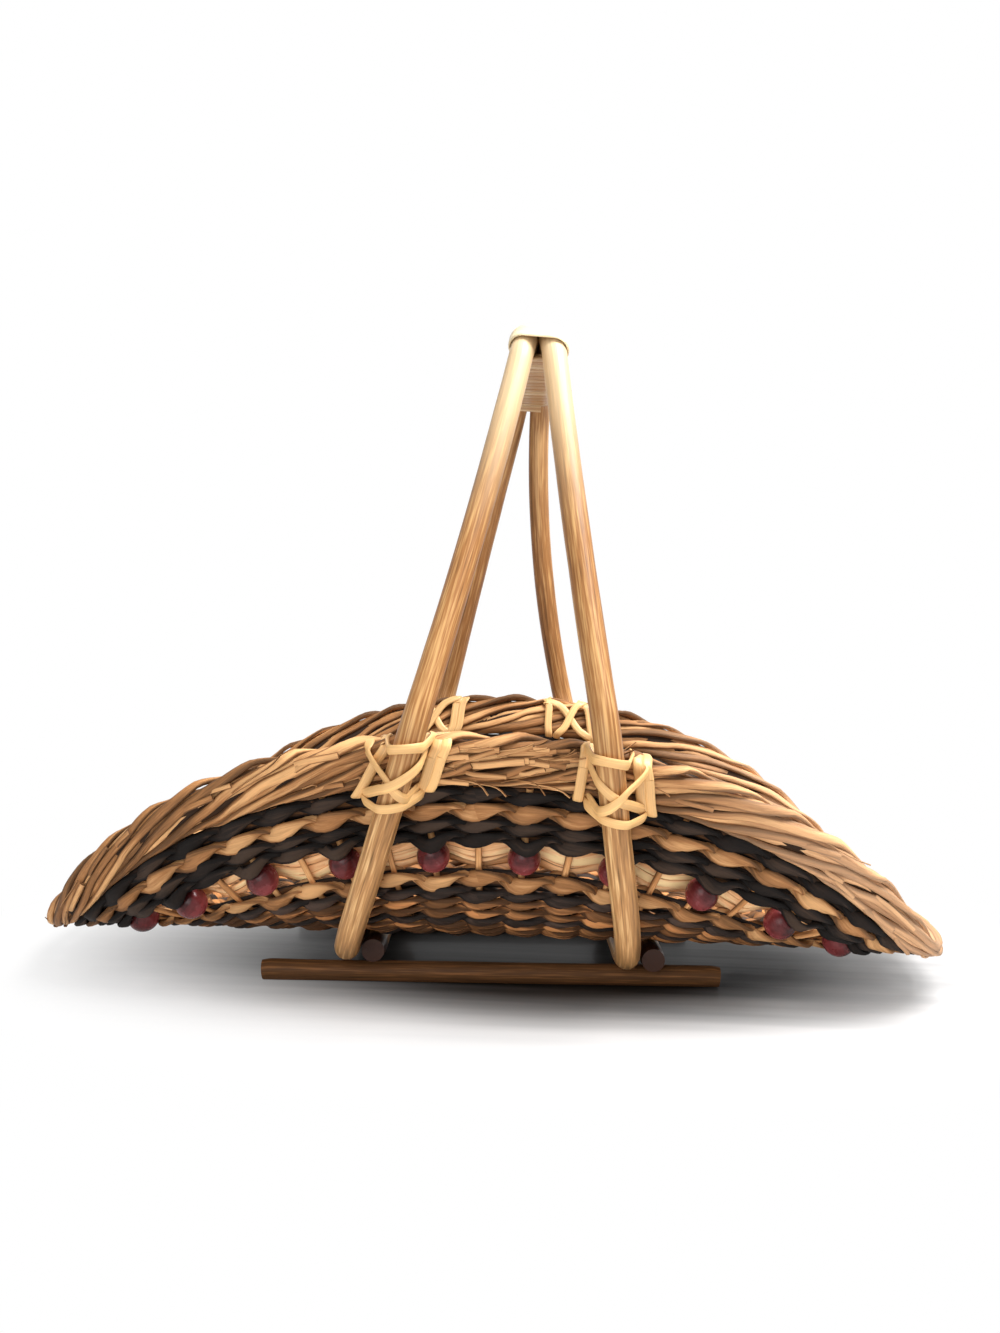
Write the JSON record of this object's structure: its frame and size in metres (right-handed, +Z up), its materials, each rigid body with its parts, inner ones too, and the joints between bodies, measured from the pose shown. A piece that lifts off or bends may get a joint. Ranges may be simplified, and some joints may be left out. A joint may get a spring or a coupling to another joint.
{
  "type": "wicker flower basket",
  "caption": "Oval woven wicker flower basket bent into a trough, with a tall handle of bent poles, cane lashings, wooden beads in an open row and round runners underneath.",
  "frame": {"origin": "on the ground under the middle of the basket, at the centre of the bounding box's bottom", "axes": "+Z up; +X along the mat from its left tip to its right tip; the front, which the picture shows, is at -Y; the hoops stand turned 3.8 degrees anticlockwise about +Z on the mat"},
  "size_m": [0.4412, 0.2652, 0.3118],
  "materials": {
    "rattan_pole": "honey-coloured rattan pole, smooth and faintly glossy, with fine lengthwise streaks",
    "pale_cane": "flat and half-round cane strip, pale straw, satin",
    "tan_rush": "twisted tan fibre strands, dry and matt",
    "dark_rush": "twisted strands dyed nearly black, matt",
    "brown_stick": "peeled round stick, mid brown, dull",
    "maroon_bead": "turned wooden bead stained dark red, semi-gloss"
  },
  "bodies": {
    "basket": {"runner_front": "brown_stick", "runner_back": "brown_stick", "hoop_left": "rattan_pole", "hoop_right": "rattan_pole", "handle_wrap": "pale_cane", "mat_floor": "tan_rush", "tan_row_below_beads": "tan_rush", "dark_row_above_beads": "dark_rush", "dark_row_middle": "dark_rush", "tan_row_outer": "tan_rush", "dark_row_outer": "dark_rush", "border_and_stakes": "tan_rush", "lashing_front_left": "pale_cane", "lashing_front_right": "pale_cane", "lashing_back_left": "pale_cane", "lashing_back_right": "pale_cane"},
    "bead_01_body": {"bead_01": "maroon_bead"},
    "bead_02_body": {"bead_02": "maroon_bead"},
    "bead_03_body": {"bead_03": "maroon_bead"},
    "bead_04_body": {"bead_04": "maroon_bead"},
    "bead_05_body": {"bead_05": "maroon_bead"},
    "bead_06_body": {"bead_06": "maroon_bead"},
    "bead_07_body": {"bead_07": "maroon_bead"},
    "bead_08_body": {"bead_08": "maroon_bead"},
    "bead_09_body": {"bead_09": "maroon_bead"},
    "bead_10_body": {"bead_10": "maroon_bead"},
    "bead_11_body": {"bead_11": "maroon_bead"},
    "bead_12_body": {"bead_12": "maroon_bead"},
    "bead_13_body": {"bead_13": "maroon_bead"},
    "bead_14_body": {"bead_14": "maroon_bead"},
    "bead_15_body": {"bead_15": "maroon_bead"},
    "bead_16_body": {"bead_16": "maroon_bead"},
    "bead_17_body": {"bead_17": "maroon_bead"},
    "bead_18_body": {"bead_18": "maroon_bead"},
    "bead_19_body": {"bead_19": "maroon_bead"},
    "bead_20_body": {"bead_20": "maroon_bead"},
    "bead_21_body": {"bead_21": "maroon_bead"},
    "bead_22_body": {"bead_22": "maroon_bead"},
    "bead_23_body": {"bead_23": "maroon_bead"},
    "bead_24_body": {"bead_24": "maroon_bead"}
  },
  "joints": [
    {"name": "bead_01_spin", "type": "hinge", "parent": "basket", "child": "bead_01_body", "pos_m": [0.01976, -0.09084, 0.06831], "axis": [0.1065, -0.3965, 0.9118], "continuous": true},
    {"name": "bead_02_spin", "type": "hinge", "parent": "basket", "child": "bead_02_body", "pos_m": [0.05895, -0.08879, 0.06358], "axis": [0.3175, -0.3781, 0.8696], "continuous": true},
    {"name": "bead_03_spin", "type": "hinge", "parent": "basket", "child": "bead_03_body", "pos_m": [0.09699, -0.08423, 0.05391], "axis": [0.523, -0.3775, 0.7642], "continuous": true},
    {"name": "bead_04_spin", "type": "hinge", "parent": "basket", "child": "bead_04_body", "pos_m": [0.13259, -0.07448, 0.03983], "axis": [0.7189, -0.5006, 0.4823], "continuous": true},
    {"name": "bead_05_spin", "type": "hinge", "parent": "basket", "child": "bead_05_body", "pos_m": [0.16313, -0.05326, 0.02683], "axis": [0.8815, -0.4624, 0.0957], "continuous": true},
    {"name": "bead_06_spin", "type": "hinge", "parent": "basket", "child": "bead_06_body", "pos_m": [0.1828, -0.0195, 0.02439], "axis": [0.9839, -0.1741, -0.0393], "continuous": true},
    {"name": "bead_07_spin", "type": "hinge", "parent": "basket", "child": "bead_07_body", "pos_m": [0.1828, 0.0195, 0.02439], "axis": [0.9839, 0.1741, -0.0393], "continuous": true},
    {"name": "bead_08_spin", "type": "hinge", "parent": "basket", "child": "bead_08_body", "pos_m": [0.16313, 0.05326, 0.02683], "axis": [0.8815, 0.4624, 0.0957], "continuous": true},
    {"name": "bead_09_spin", "type": "hinge", "parent": "basket", "child": "bead_09_body", "pos_m": [0.13259, 0.07448, 0.03983], "axis": [0.7189, 0.5006, 0.4823], "continuous": true},
    {"name": "bead_10_spin", "type": "hinge", "parent": "basket", "child": "bead_10_body", "pos_m": [0.09699, 0.08423, 0.05391], "axis": [0.523, 0.3775, 0.7642], "continuous": true},
    {"name": "bead_11_spin", "type": "hinge", "parent": "basket", "child": "bead_11_body", "pos_m": [0.05895, 0.08879, 0.06358], "axis": [0.3175, 0.3781, 0.8696], "continuous": true},
    {"name": "bead_12_spin", "type": "hinge", "parent": "basket", "child": "bead_12_body", "pos_m": [0.01976, 0.09084, 0.06831], "axis": [0.1065, 0.3965, 0.9118], "continuous": true},
    {"name": "bead_13_spin", "type": "hinge", "parent": "basket", "child": "bead_13_body", "pos_m": [-0.01976, 0.09084, 0.06831], "axis": [-0.1065, 0.3965, 0.9118], "continuous": true},
    {"name": "bead_14_spin", "type": "hinge", "parent": "basket", "child": "bead_14_body", "pos_m": [-0.05895, 0.08879, 0.06358], "axis": [-0.3175, 0.3781, 0.8696], "continuous": true},
    {"name": "bead_15_spin", "type": "hinge", "parent": "basket", "child": "bead_15_body", "pos_m": [-0.09699, 0.08423, 0.05391], "axis": [-0.523, 0.3775, 0.7642], "continuous": true},
    {"name": "bead_16_spin", "type": "hinge", "parent": "basket", "child": "bead_16_body", "pos_m": [-0.13259, 0.07448, 0.03983], "axis": [-0.7189, 0.5006, 0.4823], "continuous": true},
    {"name": "bead_17_spin", "type": "hinge", "parent": "basket", "child": "bead_17_body", "pos_m": [-0.16313, 0.05326, 0.02683], "axis": [-0.8815, 0.4624, 0.0957], "continuous": true},
    {"name": "bead_18_spin", "type": "hinge", "parent": "basket", "child": "bead_18_body", "pos_m": [-0.1828, 0.0195, 0.02439], "axis": [-0.9839, 0.1741, -0.0393], "continuous": true},
    {"name": "bead_19_spin", "type": "hinge", "parent": "basket", "child": "bead_19_body", "pos_m": [-0.1828, -0.0195, 0.02439], "axis": [-0.9839, -0.1741, -0.0393], "continuous": true},
    {"name": "bead_20_spin", "type": "hinge", "parent": "basket", "child": "bead_20_body", "pos_m": [-0.16313, -0.05326, 0.02683], "axis": [-0.8815, -0.4624, 0.0957], "continuous": true},
    {"name": "bead_21_spin", "type": "hinge", "parent": "basket", "child": "bead_21_body", "pos_m": [-0.13259, -0.07448, 0.03983], "axis": [-0.7189, -0.5006, 0.4823], "continuous": true},
    {"name": "bead_22_spin", "type": "hinge", "parent": "basket", "child": "bead_22_body", "pos_m": [-0.09699, -0.08423, 0.05391], "axis": [-0.523, -0.3775, 0.7642], "continuous": true},
    {"name": "bead_23_spin", "type": "hinge", "parent": "basket", "child": "bead_23_body", "pos_m": [-0.05895, -0.08879, 0.06358], "axis": [-0.3175, -0.3781, 0.8696], "continuous": true},
    {"name": "bead_24_spin", "type": "hinge", "parent": "basket", "child": "bead_24_body", "pos_m": [-0.01976, -0.09084, 0.06831], "axis": [-0.1065, -0.3965, 0.9118], "continuous": true}
  ]
}
